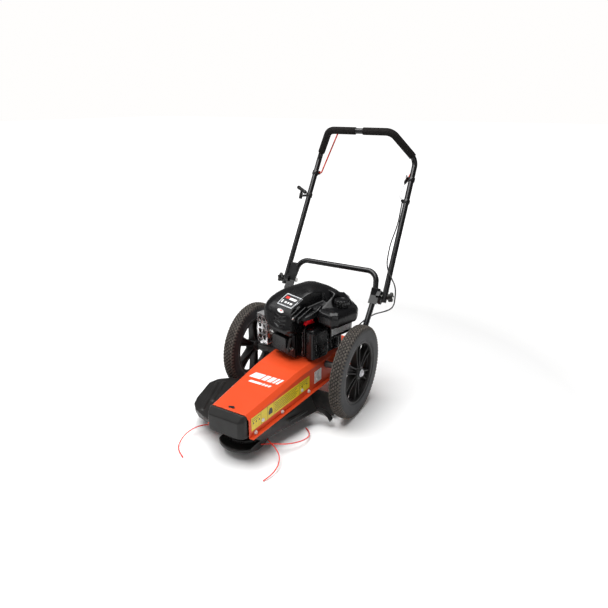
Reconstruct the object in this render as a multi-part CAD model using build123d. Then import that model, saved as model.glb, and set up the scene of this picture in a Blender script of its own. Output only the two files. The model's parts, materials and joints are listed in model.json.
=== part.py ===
from build123d import *
import math
import os

# Walk-behind wheeled string-trimmer mower (brush mower), in millimetres.
# Drawing frame: +X is the operator's left, +Y is the rear (handle side), +Z is up.
# x = 0 is the centre plane, y = 0 is the wheel axis and z = 0 is the ground.
# The finished parts are shifted once, at the end, so that the origin is
# the bottom centre of the machine's bounding box, trimmer lines left out.

# ---------------------------------------------------------------- driving dimensions
WHEEL_R = 178.0            # 14 in wheel
TYRE_W = 45.5
TRACK_HALF = 231.6         # centre plane to tyre centre
RIM_R = 121.0
AXLE_R = 8.0
AXLE_Z = WHEEL_R

DECK_FRONT_Y, DECK_MID_Y, DECK_REAR_Y = -461.0, -170.0, 200.0
DECK_FLANGE_Z = 105.0      # underside of the side flanges
DECK_FRONT_Z, DECK_TOP_Z = 188.0, 213.0
DECK_FRONT_HALF = 80.0     # half width of the channel at its front
DECK_TAPER = 0.059         # half width gained per millimetre to the rear
DECK_CHAMFER = 15.0
SHEET = 2.5
FLANGE_W = 15.0

HEAD_Y = -378.0            # trimmer head axis
HEAD_FLAT = 66.0           # centre plane to each of its two flat sides
LINE_R = 1.95              # 3.9 mm (0.155 in) trimmer line
SPINDLE_R = 12.45
ENGINE_X, ENGINE_Y = 5.0, 30.0
CRANK_R = 12.65
PULLEY_LOW, PULLEY_HIGH = 132.0, 156.0
HEAD_PULLEY_R, ENGINE_PULLEY_R = 38.0, 32.0

FOLD_Y, FOLD_Z = 258.5, 394.0
TUBE_R, TUBE_WALL = 11.1, 1.6        # 7/8 in tube
GRIP_R = 15.0
FOLD_X, LOWER_X = 232.0, 193.0       # upper and lower tube centres at the fold
BEND = (222.0, 545.0, 894.0)
CORNER = (141.0, 469.0, 1005.0)
HANDLE_BEND_R = 45.0
BAIL_R = 3.2
BAIL_Y, BAIL_Z = 512.0, 820.0        # bail pivot axis
CABLE_R = 2.6
CABLE_SPLIT = 4.0                    # each half of the cable stops this far from the fold axis
SHROUD_LOW = 346.0
SHROUD_NOTCH_Z = 386.0               # top of the recess above the air cleaner


# ---------------------------------------------------------------- small builders
def block(x0, x1, y0, y1, z0, z1):
    return Pos((x0 + x1) / 2, (y0 + y1) / 2, (z0 + z1) / 2) * Box(x1 - x0, y1 - y0, z1 - z0)


def rod_z(x, y, z0, z1, r):
    return Pos(x, y, (z0 + z1) / 2) * Cylinder(r, z1 - z0)


def rod_x(x0, x1, y, z, r):
    return Pos((x0 + x1) / 2, y, z) * Rot(0, 90, 0) * Cylinder(r, abs(x1 - x0))


def rod_y(x, y0, y1, z, r):
    return Pos(x, (y0 + y1) / 2, z) * Rot(90, 0, 0) * Cylinder(r, abs(y1 - y0))


def rod_between(a, b, r):
    """A round bar from point a to point b."""
    a, b = Vector(*a), Vector(*b)
    plane = Plane(origin=(a + b) * 0.5, z_dir=(b - a).normalized())
    return plane * Cylinder(r, (b - a).length)


def swept(path, r):
    """A round bar along a wire."""
    start = Plane(origin=path @ 0, z_dir=path % 0)
    return sweep(start * Circle(r), path=path)


def pipe(points, radii, r_out, r_in=0.0):
    """A bent tube through the points, with one bend radius for each corner."""
    path = FilletPolyline(*points, radius=radii)
    tube = swept(path, r_out)
    if r_in:
        tube -= swept(path, r_in)
    return tube


def hex_x(x0, x1, y, z, across):
    face = Plane.YZ.offset(min(x0, x1)) * Pos(y, z) * RegularPolygon(across / 2, 6, major_radius=False)
    return extrude(face, abs(x1 - x0))


def hex_z(x, y, z0, z1, across):
    face = Plane.XY.offset(z0) * Pos(x, y) * RegularPolygon(across / 2, 6, major_radius=False)
    return extrude(face, z1 - z0)


def mirrored(shape):
    return mirror(shape, about=Plane.YZ)


def group(shapes):
    return Compound([solid for shape in shapes for solid in shape.solids()])


def deck_half(y):
    """Outer half width of the deck channel at y."""
    return DECK_FRONT_HALF + DECK_TAPER * (y - DECK_FRONT_Y)


def tube_point(z, dx=0.0, dy=0.0, side=1):
    """A point beside the straight part of the upper handle tube at height z."""
    t = (z - FOLD_Z) / (BEND[2] - FOLD_Z)
    x = FOLD_X + t * (BEND[0] - FOLD_X)
    return side * (x + dx), FOLD_Y + t * (BEND[1] - FOLD_Y) + dy, z


def corner_radii(points):
    """One radius for each corner: 0.45 of the shorter run over tan(half the turn)."""
    radii = []
    for a, b, c in zip(points, points[1:], points[2:]):
        u, v = Vector(*b) - Vector(*a), Vector(*c) - Vector(*b)
        turn = math.radians(u.get_angle(v))
        radii.append(0.45 * min(u.length, v.length) / math.tan(turn / 2))
    return radii


parts = {}

# ---------------------------------------------------------------- deck and guards


def deck_section(y, top):
    """The folded channel's cross-section at y: flanges, sides, chamfers and top."""
    half = deck_half(y)
    low, t, c = DECK_FLANGE_Z, SHEET, DECK_CHAMFER
    inner_c = c + t * (1 - math.sqrt(2)) + t
    right = [
        (half + FLANGE_W, low), (half + FLANGE_W, low + t), (half, low + t),
        (half, top - c), (half - c, top),
    ]
    inside = [
        (half - inner_c, top - t), (half - t, top - inner_c), (half - t, low),
    ]
    outline = right + [(-x, z) for x, z in reversed(right)]
    outline += [(-x, z) for x, z in reversed(inside)] + inside
    return Plane(origin=(0, y, 0), x_dir=(1, 0, 0), z_dir=(0, -1, 0)) * Polygon(*outline, align=None)


GUARD_BOLTS_Y = (-431.0, -284.0, -118.0)
LABEL_BOLTS_Y = (-392.0, -162.0)


def make_deck():
    sections = [
        deck_section(DECK_FRONT_Y, DECK_FRONT_Z),
        deck_section(DECK_MID_Y, DECK_TOP_Z),
        deck_section(DECK_REAR_Y, DECK_TOP_Z),
    ]
    deck = loft(sections[:2], ruled=True) + loft(sections[1:], ruled=True)
    deck -= rod_z(ENGINE_X, ENGINE_Y, 200, 230, 36)
    deck -= rod_x(-140, 140, 0, AXLE_Z, AXLE_R + 0.3)
    deck -= block(-12, 12, -448.5, -443.5, 175, 200)
    for y in GUARD_BOLTS_Y:
        deck -= rod_x(-120, 120, y, 114, 3.3)
    for y in LABEL_BOLTS_Y:
        deck -= rod_x(60, 120, y, 140, 3.3)
    for y in (62, 108):
        deck -= rod_x(-130, 130, y, 150, 4.3)
    return deck


def make_belly_plate():
    front, rear = -456.0, -300.0
    plan = Polygon(
        (deck_half(front) - 3.2, front), (deck_half(rear) - 3.2, rear),
        (3.2 - deck_half(rear), rear), (3.2 - deck_half(front), front), align=None)
    plate = extrude(Plane.XY.offset(108) * plan, 3)
    plate -= rod_z(0, HEAD_Y, 100, 120, 27)
    for k in range(4):
        a = math.radians(45 + 90 * k)
        plate -= rod_z(37 * math.cos(a), HEAD_Y + 37 * math.sin(a), 100, 120, 3.3)
    return plate


def make_bumper():
    body = block(-72, 72, -490, -461.3, 106, 190)
    body = fillet(body.edges().filter_by(Axis.Z).group_by(Axis.Y)[0], 14)
    body = chamfer(body.faces().sort_by(Axis.Z)[-1].edges().sort_by(Axis.Y)[0], 9)
    cavity = block(-67, 67, -484, -461, 111, 184)
    body -= cavity
    return body


GUARD_TOP = [
    (90, -450), (119, -130), (-119, -130), (-228, -168), (-262, -198),
    (-273, -238), (-240, -348), (-222, -384), (-190, -412), (-150, -430), (-95, -444)]
GUARD_RIM = [
    (80, -396), (152, -140), (-119, -126), (-238, -160), (-276, -192),
    (-290, -238), (-256, -338), (-234, -368), (-198, -390), (-152, -402), (-100, -410)]
GUARD_WALL = 4.0


def make_guard():
    def shape(inset, top, low):
        faces = []
        for points, z in ((GUARD_TOP, top), (GUARD_RIM, low)):
            face = make_face(Polyline(*points, close=True))
            if inset:
                face = offset(face, amount=-inset, kind=Kind.INTERSECTION)
            faces.append(Plane.XY.offset(z) * face)
        return loft(faces, ruled=True)

    guard = shape(0, 104.6, 56) - shape(GUARD_WALL, 104.6 - GUARD_WALL, 55)
    guard -= rod_z(0, HEAD_Y, 95, 110, 52)
    guard -= block(-72, 72, -470, -385, 50, 100)
    guard -= block(-110, 110, -135, -110, 50, 99)
    for x, y, length, turn in ((-206, -313, 200, -67), (-199, -274, 140, -70)):
        rib = Box(length, 10, 5)
        guard += Pos(x, y, 106) * Rot(0, 0, turn) * fillet(rib.edges().filter_by(Axis.Z), 4)
    tail_side = [
        (146, 62), (176, 58), (196, 45), (206, 28), (202, 27), (192, 42), (174, 53.5), (146, 57)]
    tail_plane = Plane(origin=(0, -142, 0), x_dir=(1, 0, 0), z_dir=(0, -1, 0))
    return guard + extrude(tail_plane * Polygon(*tail_side, align=None), 26)


parts["deck"] = make_deck()
parts["belly_plate"] = make_belly_plate()
parts["front_bumper"] = make_bumper()
parts["trimmer_guard"] = make_guard()
parts["rear_skirt"] = block(-186, 186, -77, -73, 12, 104.6)

# ---------------------------------------------------------------- wheels and axles


def make_tyre():
    half = TYRE_W / 2
    profile = Polyline(
        (RIM_R, -18.5), (RIM_R + 8, -21), (RIM_R + 30, -half), (WHEEL_R - 12, -half + 1),
        (WHEEL_R - 3, -half + 7), (WHEEL_R, -half + 16), (WHEEL_R, half - 16), (WHEEL_R - 3, half - 7),
        (WHEEL_R - 12, half - 1), (RIM_R + 30, half), (RIM_R + 8, 21), (RIM_R, 18.5), close=True)
    ring = revolve(Plane.XZ * make_face(profile), axis=Axis.Z)
    air_space = Cylinder(RIM_R + 26, 30) - Cylinder(RIM_R + 4, 30)
    return ring - air_space


def make_rim():
    rim = Cylinder(RIM_R, 37) - Cylinder(RIM_R - 4, 37)
    rim += Cylinder(RIM_R - 3, 5) - Cylinder(RIM_R - 15, 5)
    rim += Cylinder(24, 44)
    rim += Cylinder(15, 51)
    for k in range(6):
        for lean in (-9, 9):
            spoke = Pos(64, 0, 0) * Box(94, 7, 22)
            rim += Rot(0, 0, 60 * k + lean / 2) * Pos(0, lean, 0) * spoke
    rim = rim & Cylinder(RIM_R, 60)
    rim -= Cylinder(AXLE_R + 0.05, 60)
    return rim


def on_wheel(shape, side):
    """Puts a shape drawn about the Z axis on a wheel: its +Z points outwards."""
    return Pos(side * TRACK_HALF, 0, AXLE_Z) * Rot(0, side * 90, 0) * shape


def make_axle(side):
    axle = rod_x(side * 98, side * 262, 0, AXLE_Z, AXLE_R)
    axle += rod_x(side * 119, side * 205.6, 0, AXLE_Z, 12)
    axle += hex_x(side * 97.5, side * 103.6, 0, AXLE_Z, 24)
    axle += hex_x(side * 109, side * 119, 0, AXLE_Z, 24)
    return axle


def make_hub_cap():
    cap = Pos(0, 0, 29.8) * Cylinder(15, 8.2)
    cap -= Pos(0, 0, 28.2) * Cylinder(AXLE_R + 0.5, 5.4)
    return fillet(cap.edges().group_by(Axis.Z)[-1], 1.5)


for name, side in (("left", 1), ("right", -1)):
    parts[f"tyre_{name}"] = on_wheel(make_tyre(), side)
    parts[f"rim_{name}"] = on_wheel(make_rim(), side)
    parts[f"hub_cap_{name}"] = on_wheel(make_hub_cap(), side)
parts["axles"] = group([make_axle(1), make_axle(-1)])

# ---------------------------------------------------------------- drive line


def make_pulley(r, bore, x, y):
    pulley = rod_z(x, y, PULLEY_LOW, PULLEY_HIGH, r)
    mid = (PULLEY_LOW + PULLEY_HIGH) / 2
    vee = Polyline(
        (r - 10, mid - 3.6), (r + 1, mid - 6.5), (r + 1, mid + 6.5), (r - 10, mid + 3.6), close=True)
    groove = revolve(Plane.XZ * make_face(vee), axis=Axis.Z)
    pulley -= Pos(x, y, 0) * groove
    return pulley - rod_z(x, y, PULLEY_LOW - 1, PULLEY_HIGH + 1, bore)


def belt_loop(shrink, z0, z1):
    head = Pos(0, HEAD_Y) * Circle(HEAD_PULLEY_R - shrink)
    engine = Pos(ENGINE_X, ENGINE_Y) * Circle(ENGINE_PULLEY_R - shrink)
    hull = make_hull(head.edges() + engine.edges())
    return extrude(Plane.XY.offset(z0) * hull, z1 - z0)


parts["spindle_shaft"] = rod_z(0, HEAD_Y, 24, 166, SPINDLE_R)
parts["head_pulley"] = make_pulley(HEAD_PULLEY_R, SPINDLE_R, 0, HEAD_Y)
parts["engine_pulley"] = make_pulley(ENGINE_PULLEY_R, CRANK_R, ENGINE_X, ENGINE_Y)
parts["drive_belt"] = belt_loop(1.7, 140.8, 147.2) - belt_loop(9.6, 140, 148)

housing = rod_z(0, HEAD_Y, 60, 117, 26) + rod_z(0, HEAD_Y, 111, 117, 46)
housing -= rod_z(0, HEAD_Y, 59, 118, 22)
for k in range(4):
    a = math.radians(45 + 90 * k)
    housing -= rod_z(37 * math.cos(a), HEAD_Y + 37 * math.sin(a), 105, 120, 3.3)
parts["spindle_housing"] = housing
parts["spindle_bearings"] = group([
    rod_z(0, HEAD_Y, z, z + 14, 22) - rod_z(0, HEAD_Y, z - 1, z + 15, SPINDLE_R + 0.05) for z in (62, 101)])

# idler arm, pivoted beside the belt; a cable pulls it onto the belt
IDLER_PIVOT = (76.0, -70.0)
IDLER = (75.0, -165.0)
IDLER_R = 17.0
arm = block(IDLER_PIVOT[0] - 8, IDLER_PIVOT[0] + 8, IDLER[1], IDLER_PIVOT[1], 150, 154)
arm += rod_z(*IDLER_PIVOT, 150, 154, 12) + rod_z(*IDLER, 150, 154, 10)
arm += block(46, IDLER_PIVOT[0], IDLER_PIVOT[1] - 6, IDLER_PIVOT[1] + 6, 150, 154)
arm += rod_z(50, IDLER_PIVOT[1], 140, 154, 3)
arm -= rod_z(*IDLER_PIVOT, 140, 160, 5.05)
arm += rod_z(*IDLER, 133, 150, 5)
parts["idler_arm"] = arm
parts["idler_pulley"] = rod_z(*IDLER, 137, 149.6, IDLER_R) - rod_z(*IDLER, 130, 160, 5.05)
parts["tension_spring"] = rod_y(50, -66.5, 0, 144, 3.6)

# ---------------------------------------------------------------- trimmer head
def bowl(z0, r0, z1, r1):
    """A slice of the head's bowl, from radius r0 at z0 to r1 at z1."""
    return Pos(0, HEAD_Y, (z0 + z1) / 2) * Cone(r0, r1, z1 - z0)


def flats(z0, z1):
    """What the head's two flat sides leave free, between z0 and z1."""
    slab = block(HEAD_FLAT, 130, HEAD_Y - 130, HEAD_Y + 130, z0, z1)
    return group([slab, mirrored(slab)])


head = bowl(22, 72, 36, 92) + rod_z(0, HEAD_Y, 36, 48, 92)
head = fillet(head.edges().group_by(Axis.Z)[-1], 5) - flats(20, 60)
head += rod_z(0, HEAD_Y, 44, 58, 58)
for k in range(8):
    a = math.radians(22.5 + 45 * k)
    head += Pos(0, HEAD_Y, 50) * Rot(0, 0, math.degrees(a)) * Pos(50, 0, 0) * Box(24, 5, 9)
head -= rod_z(0, HEAD_Y, 20, 60, SPINDLE_R)
parts["trimmer_head"] = head
parts["head_base"] = bowl(0, 44, 21.9, 71.9) - flats(-1, 23)


# The lines are flexible, so the pair on each flat side of the head lies differently.
LINE_REAR = [
    (66.1, -382, 31), (86, -367, 31.5), (108, -356, 32), (134, -342, 31), (158, -313, 27), (172, -276, 20),
    (172, -238, 13), (156, -205, 7), (128, -186, 3.5)]
LINE_FRONT = [
    (66.1, -352, 40), (84, -361, 39.5), (104, -370, 37), (126, -379, 32), (150, -396, 26), (166, -424, 18),
    (170, -456, 11), (165, -487, 6.5), (158, -505, 3.5)]
LINE_FAR_FRONT = [
    (-66.1, -392, 31), (-92, -392, 32), (-128, -382, 33), (-165, -378, 31), (-196, -404, 27),
    (-211, -446, 20), (-202, -494, 11), (-180, -525, 6), (-142, -542, 3.5)]
LINE_FAR_REAR = [
    (-66.1, -368, 36), (-88, -364, 35), (-116, -350, 31), (-139, -322, 23), (-150, -290, 14),
    (-148, -257, 7), (-134, -227, 3.5)]
line_routes = {
    "trimmer_line_1": LINE_REAR, "trimmer_line_2": LINE_FRONT,
    "trimmer_line_3": LINE_FAR_FRONT, "trimmer_line_4": LINE_FAR_REAR}

# ---------------------------------------------------------------- engine
X, Y = ENGINE_X, ENGINE_Y


def rounded_block(x0, x1, y0, y1, z0, z1, r):
    body = block(x0, x1, y0, y1, z0, z1)
    return fillet(body.edges().filter_by(Axis.Z), r)


# Everything from here to the oil cap is drawn square to the axes, then turned about the
# crankshaft, because the engine sits askew on the deck.
crankcase = rounded_block(-52, 56, -44, 112, DECK_TOP_Z + 0.1, 330, 14)
crankcase += rounded_block(-76, 66, -44, 118, DECK_TOP_Z + 0.1, 222, 14)
crankcase -= rounded_block(-44, 48, -36, 104, 222, 322, 8)
crankcase -= rod_z(X, Y, 200, 340, CRANK_R + 0.05)
crankcase -= rod_y(X, -50, -30, 272, 24)
parts["crankcase"] = crankcase

cylinder = block(-46, 56, -92, -44.2, 236, 308)
for k in range(5):
    cylinder += block(-54, 64, -90 + 8 * k, -87 + 8 * k, 228, 316)
cylinder -= rod_y(X, -88, -40, 272, 24)
parts["cylinder"] = cylinder
parts["valve_cover"] = fillet(block(-33, 41, -114, -92.2, 250, 306).edges().filter_by(Axis.Y), 8)
plug_x, plug_z = 53, 262
parts["spark_plug"] = (
    rod_y(plug_x, -93, -108, plug_z, 6) + rod_y(plug_x, -101, -105, plug_z, 8)
    + rod_y(plug_x, -92.2, -93.5, plug_z, 7))
parts["plug_boot"] = (
    rod_y(plug_x, -108.2, -121, plug_z, 8.5) + rod_between((plug_x, -115, plug_z), (60, -106, 312), 4.5))

parts["crankshaft"] = rod_z(X, Y, 124, 426, CRANK_R) + rod_z(X, Y, 262, 282, 30)
wheel = rod_z(X, Y, 392, 400, 82) + rod_z(X, Y, 384, 420, 30)
for k in range(14):
    wheel += Pos(X, Y, 409) * Rot(0, 0, 360 / 14 * k) * Pos(62, 0, 0) * Box(34, 3, 20)
wheel -= rod_z(X, Y, 380, 425, CRANK_R)
parts["flywheel"] = wheel

SHROUD_SECTIONS = [
    (SHROUD_LOW, -92, 114, -114, 132, 34), (388, -113, 117, -104, 136, 42),
    (436, -86, 112, -73, 124, 42), (468, -34, 86, -30, 92, 32), (482, 18, 44, 14, 50, 12)]


def shroud_loft(inset, drop):
    faces = []
    for z, x0, x1, y0, y1, r in SHROUD_SECTIONS:
        plan = RectangleRounded(x1 - x0 - 2 * inset, y1 - y0 - 2 * inset, r - inset)
        faces.append(Pos((x0 + x1) / 2, (y0 + y1) / 2, z - drop) * plan)
    return loft(faces, ruled=True)


outer = shroud_loft(0, 0) + rounded_block(-60, 64, -118, 121, 318, SHROUD_LOW + 2, 20)
outer -= block(66, 130, -135, 36, 310, SHROUD_NOTCH_Z)
inner = shroud_loft(3.5, 3.5) + rounded_block(-56.5, 60.5, -114.5, 117.5, 310, SHROUD_LOW + 2, 17)
inner -= block(62.5, 130, -135, 39.5, 310, SHROUD_NOTCH_Z + 3.5)
parts["blower_shroud"] = outer - inner

TANK_X = 118.3            # the tank's side against the shroud
TANK_LOW, TANK_TOP = 361.0, 418.0
CAP_X, CAP_Y = 158.0, 59.0
tank_plan = make_face(Polyline(
    (TANK_X, -26), (190, -30), (204, -10), (204, 95), (180, 128), (140, 152), (TANK_X, 156), close=True))


def tank_block(inset, z0, z1, r, r_top):
    plan = offset(tank_plan, amount=-inset, kind=Kind.INTERSECTION) if inset else tank_plan
    body = extrude(Plane.XY.offset(z0) * plan, z1 - z0)
    body = fillet(body.edges().filter_by(Axis.Z), r)
    return fillet(body.edges().group_by(Axis.Z)[-1], r_top)


tank = tank_block(0, TANK_LOW, TANK_TOP, 14, 9)
tank += rounded_block(118.5, 130, 34, 156, 282, TANK_LOW + 5, 4)
tank += block(TANK_X, 127, 20, 130, TANK_TOP - 12, 452)
tank += block(TANK_X, 160, 92, 125, TANK_TOP - 12, 436)
tank -= tank_block(4, TANK_LOW + 4, TANK_TOP - 4, 10, 6)
tank += rod_z(CAP_X, CAP_Y, 415, 430, 23)
parts["fuel_tank"] = tank - rod_z(CAP_X, CAP_Y, 405, 435, 19)
cap = rod_z(CAP_X, CAP_Y, 430.3, 446, 28)
for k in range(12):
    cap += Pos(CAP_X, CAP_Y, 437) * Rot(0, 0, 30 * k) * Pos(28, 0, 0) * Cylinder(2.4, 13)
parts["fuel_cap"] = cap + rod_z(CAP_X, CAP_Y, 418, 431, 18.7)

parts["carburettor"] = (
    block(56.2, 71.6, -34, -2, 246, 286) + rod_z(63.4, -18, 224, 246, 7) - rod_x(50, 75, -18, 268, 9))
lever_x, lever_y = 78, -8          # lever's pivot
base = rounded_block(71.8, 83.8, -58, 28, 224, 349, 3)
parts["air_filter_base"] = base - rod_x(66, 88, -18, 268, 9) - rod_z(lever_x, lever_y, 338, 352, 3.05)
cover = block(84, 127, -62, 30, 222, 343)
cover = fillet(cover.faces().sort_by(Axis.X)[-1].edges(), 12)
parts["air_filter_cover"] = cover - block(83, 122, -57, 25, 228, 337)
parts["air_filter_element"] = rounded_block(86, 118, -52, 20, 234, 330, 4)
lever = block(74, 82, -50, -4, 350, 354) + rod_z(lever_x, lever_y, 342, 354, 3)
lever += fillet(block(70, 88, -54, -14, 354, 378).edges(), 6)
parts["throttle_lever"] = lever

muffler_y = -56                    # exhaust port
parts["muffler"] = (
    fillet(block(-172, -118, -62, 14, 230, 324).edges(), 12) + rod_x(-121, -54.2, muffler_y, 272, 12))
guard = block(-181, -112, -72, 22, 216, 338)
guard = fillet(guard.faces().sort_by(Axis.X)[0].edges(), 14)
inside = block(-178.5, -106, -69.5, 19.5, 218.5, 335.5)
guard -= fillet(inside.faces().sort_by(Axis.X)[0].edges(), 11.5)
front_hole = fillet(Box(17, 20, 19).edges().filter_by(Axis.Y), 6)
side_hole = Rot(0, 0, 90) * front_hole
for row in range(4):
    z = 240 + 25.5 * row
    for x in (-154, -130):
        guard -= Pos(x, -70, z) * front_hole
    for y in (-45, -21, 3):
        guard -= Pos(-180, y, z) * side_hole
parts["muffler_guard"] = guard

parts["oil_fill_tube"] = pipe(
    [(-36, 112.5, 240), (-36, 158, 240), (-36, 184, 322)], [22], 9, 7)
oil_dir = Vector(0, 26, 82).normalized()
tip = Vector(-36, 184, 322)
oil_cap = rod_between(tuple(tip + oil_dir * 0.3), tuple(tip + oil_dir * 16), 13)
oil_cap += rod_between(tuple(tip - oil_dir * 12), tuple(tip + oil_dir * 1), 6.8)
parts["oil_cap"] = oil_cap

ENGINE_TURN = -15.0                # degrees about the crankshaft
for name in (
        "crankcase", "cylinder", "valve_cover", "spark_plug", "plug_boot", "blower_shroud", "fuel_tank",
        "fuel_cap", "carburettor", "air_filter_base", "air_filter_cover", "air_filter_element",
        "throttle_lever", "muffler", "muffler_guard", "oil_fill_tube", "oil_cap"):
    parts[name] = Pos(X, Y, 0) * Rot(0, 0, ENGINE_TURN) * Pos(-X, -Y, 0) * parts[name]

# ---------------------------------------------------------------- handles
fold_half = [
    (124, 40, 150), (124, 84, 178), (LOWER_X, 132, 244), (LOWER_X, FOLD_Y - 6, FOLD_Z + 2),
    (178, 294, 478)]
lower_points = fold_half + [(-x, y, z) for x, y, z in reversed(fold_half)]
lower = pipe(lower_points, [26, 40, 60, 46, 46, 60, 40, 26], TUBE_R, TUBE_R - TUBE_WALL)
lower -= rod_x(-260, 260, FOLD_Y, FOLD_Z, 4.3)
for y in (62, 108):
    lower -= rod_x(-150, 150, y, 150, 4.3)
parts["lower_handle"] = lower

handle_half = [tube_point(372), BEND, CORNER]
handle_points = handle_half + [(-x, y, z) for x, y, z in reversed(handle_half)]
upper = pipe(handle_points, [HANDLE_BEND_R] * 4, TUBE_R, TUBE_R - TUBE_WALL)
parts["upper_handle"] = upper - rod_x(-260, 260, FOLD_Y, FOLD_Z, 4.3)

leg = (Vector(*tube_point(372)) - Vector(*BEND)).normalized()
grip_start = tuple(Vector(*BEND) + leg * 31)          # just below the bend
grip_points = [grip_start, BEND, CORNER, (17, CORNER[1], CORNER[2])]
grip = pipe(grip_points, [HANDLE_BEND_R] * 2, GRIP_R, TUBE_R)
sleeve_end = Plane(origin=(212, 535, 907), z_dir=(-0.456, -0.298, 0.837))     # within the bend
grip = split(grip, bisect_by=sleeve_end, keep=Keep.TOP)
parts["grips"] = group([grip, mirrored(grip)])

bail_points = [
    (-212.4, BAIL_Y, BAIL_Z), (-199, BAIL_Y, BAIL_Z), (-130, 540, 1000), (113, 540, 999),
    (205, 590, 892), (209, 556, 856), (204, BAIL_Y, BAIL_Z), (212.4, BAIL_Y, BAIL_Z)]
bail = pipe(bail_points, [8, 22, 22, 18, 18, 3.5], BAIL_R)
bail += block(203, 206, BAIL_Y - 26, BAIL_Y + 6, BAIL_Z - 5, BAIL_Z + 5)
parts["bail"] = bail


def tube_ring(z, half, r_out, side):
    """A clamp ring about the upper tube, centred at height z."""
    a, b = Vector(*tube_point(z - half, side=side)), Vector(*tube_point(z + half, side=side))
    return rod_between(tuple(a), tuple(b), r_out)


def tube_hole(side):
    return rod_between(tube_point(FOLD_Z, side=side), tube_point(BEND[2] - 40, side=side), TUBE_R + 0.05)


brackets = []
for side in (-1, 1):
    bracket = tube_ring(BAIL_Z, 7, 14, side)
    bracket += Pos(side * 210.2, BAIL_Y, BAIL_Z) * Box(3, 20, 16)
    bracket -= tube_hole(side)
    brackets.append(bracket - rod_x(side * 195, side * 214.6, BAIL_Y, BAIL_Z, BAIL_R + 0.05))
ferrule = tube_ring(738, 6, 14, 1) + block(203, 220, 450, 462, 737.4, 745)
brackets.append(ferrule - tube_hole(1))
parts["bail_brackets"] = group(brackets)

clamps, fasteners = [], []
for side in (-1, 1):
    spacer = rod_x(side * 204.4, side * 220.2, FOLD_Y, FOLD_Z, 17)
    spacer += Pos(side * 212, FOLD_Y - 4, FOLD_Z - 6) * Rot(30, 0, 0) * Box(15, 30, 52)
    spacer -= rod_x(side * 190, side * 240, FOLD_Y, FOLD_Z, 4.3)
    clamps.append(spacer)
    fold_bolt = rod_x(side * 180, side * 268, FOLD_Y, FOLD_Z, 4)
    fasteners.append(fold_bolt + rod_x(side * 175.5, side * 180, FOLD_Y, FOLD_Z, 9))
parts["fold_clamps"] = group(clamps)

for name, side in (("left", 1), ("right", -1)):
    knob = rod_x(side * 243.6, side * 256, FOLD_Y, FOLD_Z, 13)
    for k in range(5):
        lobe = Rot(72 * k, 0, 0) * Pos(side * 259, 0, 12) * Box(14, 10, 18)
        knob += Pos(0, FOLD_Y, FOLD_Z) * lobe
    knob += rod_x(side * 252, side * 266, FOLD_Y, FOLD_Z, 11)
    parts[f"star_knob_{name}"] = knob - rod_x(side * 240, side * 268.4, FOLD_Y, FOLD_Z, 4.05)

# ---------------------------------------------------------------- starter grip and its guide
PULL = Vector(0.095, 0.176, 0.98).normalized()
BAR = Vector(0.88, -0.475, -0.25).normalized()
grip_at = Vector(-262, 448, 750)
guide_low, guide_high = grip_at - PULL * 40, grip_at - PULL * 14
guide = rod_between(tuple(guide_low), tuple(guide_high), 7.5)
ring_z = 728
guide += tube_ring(ring_z, 7, 14, -1)
guide += rod_between(tuple((guide_low + guide_high) * 0.5), tube_point(ring_z, side=-1), 5)
guide -= tube_hole(-1)
guide -= rod_between(tuple(guide_low - PULL * 5), tuple(guide_high + PULL * 5), 3.2)
parts["rope_guide"] = guide
t_bar = rod_between(tuple(grip_at - BAR * 34), tuple(grip_at + BAR * 34), 8.5)
t_bar = fillet(t_bar.edges(), 5)
stem = rod_between(tuple(grip_at - PULL * 13.6), tuple(grip_at), 6.5)
parts["starter_grip"] = t_bar + stem
parts["starter_rope"] = rod_between(tuple(guide_low), tuple(grip_at - PULL * 13.6), 2.2)

# ---------------------------------------------------------------- control cable
cable_top = [
    (207.5, 456, 736), (208.5, 440, 706), (211, 418, 664), (207, 396, 624), (200, 374, 584),
    (201, 352, 546), (208, 322, 508), (229, 292, 486), (253, 274, 464), (270, 266, 441),
    (275, 262, 416), (275, FOLD_Y, FOLD_Z + CABLE_SPLIT)]
cable_low = [
    (275, FOLD_Y, FOLD_Z - CABLE_SPLIT), (274, 258, 370), (262, 262, 345), (229, 262, 326), (192, 262, 310),
    (158, 256, 284), (128, 246, 250), (96, 232, 212), (66, 208, 178), (52, 166, 154),
    (48, 120, 146), (51, 62, 144), (50, 3, 144)]


def cable(points, r):
    radii = corner_radii(points)
    path = FilletPolyline(*points, radius=radii)
    return swept(path, r), radii, path.length


bolts = list(fasteners)
for side in (-1, 1):
    for y in GUARD_BOLTS_Y:
        outer = deck_half(y)
        bolts.append(rod_x(side * (outer - 6), side * (outer + 0.6), y, 114, 3)
                     + hex_x(side * (outer + 0.6), side * (outer + 5.6), y, 114, 10))
for y in LABEL_BOLTS_Y:
    outer = deck_half(y)
    bolts.append(rod_x(outer - 4, outer + 0.6, y, 140, 3) + hex_x(outer + 0.6, outer + 4.6, y, 140, 9))
for k in range(4):
    a = math.radians(45 + 90 * k)
    bx, by = 37 * math.cos(a), HEAD_Y + 37 * math.sin(a)
    bolts.append(rod_z(bx, by, 105, 117, 3) + hex_z(bx, by, 117, 122, 10))
plate_y = -57.0                    # side plate that stiffens the channel ahead of the axle
plate = Pos(deck_half(plate_y) + 1.7, plate_y, 152) * Rot(0, 0, -math.degrees(math.atan(DECK_TAPER)))
bolts.append(plate * Box(2.4, 46, 48) + plate * Pos(3, -8, -12) * Rot(0, 90, 0) * Cylinder(6, 4))
pivot_bolt = rod_z(*IDLER_PIVOT, 144, DECK_TOP_Z - SHEET, 5) + hex_z(*IDLER_PIVOT, 139, 149.7, 14)
bolts.append(pivot_bolt)
parts["bolts"] = group(bolts)

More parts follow.
